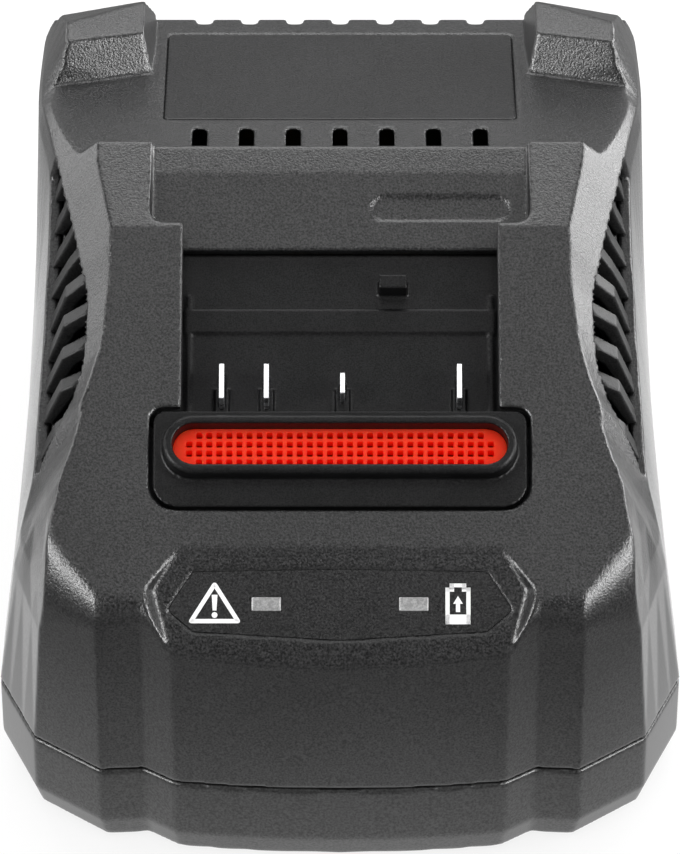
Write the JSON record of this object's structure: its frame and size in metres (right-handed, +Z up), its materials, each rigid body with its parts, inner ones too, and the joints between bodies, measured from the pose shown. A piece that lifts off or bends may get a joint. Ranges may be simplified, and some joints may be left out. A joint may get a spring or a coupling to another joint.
{
  "type": "power tool battery charger",
  "caption": "Wedge-shaped mains charger with a slide-in battery well, contact blades, red cooling nozzle, indicator panel, side louvres and internal fan.",
  "frame": {"origin": "centre of the bounding box on the table plane under the rubber feet", "axes": "+X across the charger to the right as seen from the front, +Y from the front to the rear where the cord gland is, +Z up from the table"},
  "size_m": [0.137, 0.177, 0.1064],
  "materials": {
    "casing_top": "fine spark-eroded texture, dark grey ABS",
    "casing_bottom": "fine spark-eroded texture, dark grey ABS",
    "holder_plastic": "smooth glass-filled polyamide, near black",
    "mesh_elastomer": "matte orange-red thermoplastic elastomer",
    "tinned_blade": "bright tinned copper",
    "plate_plastic": "fine texture",
    "panel_film": null,
    "light_guide": "milky translucent, unlit",
    "circuit_board": "green solder resist",
    "led_body": "clear",
    "grille_plastic": "fine texture",
    "ferrite": "sintered ferrite",
    "coil_tape": "polyester tape over the windings",
    "capacitor_sleeve": "shrink sleeve",
    "heat_sink": "mill finish",
    "transistor_body": "moulded epoxy",
    "copper_winding": "enamelled copper winding",
    "film_capacitor": "moulded box",
    "fuse_ceramic": "ceramic",
    "duct_plastic": "moulded",
    "fan_plastic": "moulded",
    "bearing_bronze": "sintered bronze",
    "rotor_plastic": "moulded",
    "steel": "zinc plated",
    "gland_rubber": "matte",
    "foot_rubber": "matte",
    "lead_insulation": "PVC insulation"
  },
  "bodies": {
    "charger": {"top_shell": "casing_top", "bottom_shell": "casing_bottom", "contact_holder": "holder_plastic", "nozzle_mesh": "mesh_elastomer", "blade_negative": "tinned_blade", "blade_thermistor": "tinned_blade", "blade_code": "tinned_blade", "blade_positive": "tinned_blade", "name_plate": "plate_plastic", "indicator_film": "panel_film", "light_guide_left": "light_guide", "light_guide_right": "light_guide", "indicator_board": "circuit_board", "indicator_leds": "led_body", "side_grille_left": "grille_plastic", "side_grille_right": "grille_plastic", "main_board": "circuit_board", "transformer_core": "ferrite", "transformer_coil": "coil_tape", "input_capacitor": "capacitor_sleeve", "output_capacitors": "capacitor_sleeve", "heat_sink_input": "heat_sink", "heat_sink_output": "heat_sink", "power_transistors": "transistor_body", "line_choke": "copper_winding", "line_filter_capacitor": "film_capacitor", "fuse": "fuse_ceramic", "air_duct": "duct_plastic", "fan_frame": "fan_plastic", "fan_bearing": "bearing_bronze", "mains_gland": "gland_rubber", "case_screws": "steel", "board_screws": "steel", "holder_screws": "steel", "fan_screws": "steel", "rubber_feet": "foot_rubber", "contact_leads": "lead_insulation", "fan_lead": "lead_insulation"},
    "rotor": {"fan_rotor": "rotor_plastic", "fan_shaft": "steel"}
  },
  "joints": [
    {"name": "fan_spin", "type": "hinge", "parent": "charger", "child": "rotor", "pos_m": [0, -0.03788, 0.05298], "axis": [0, -0.4848, 0.8746], "continuous": true}
  ]
}
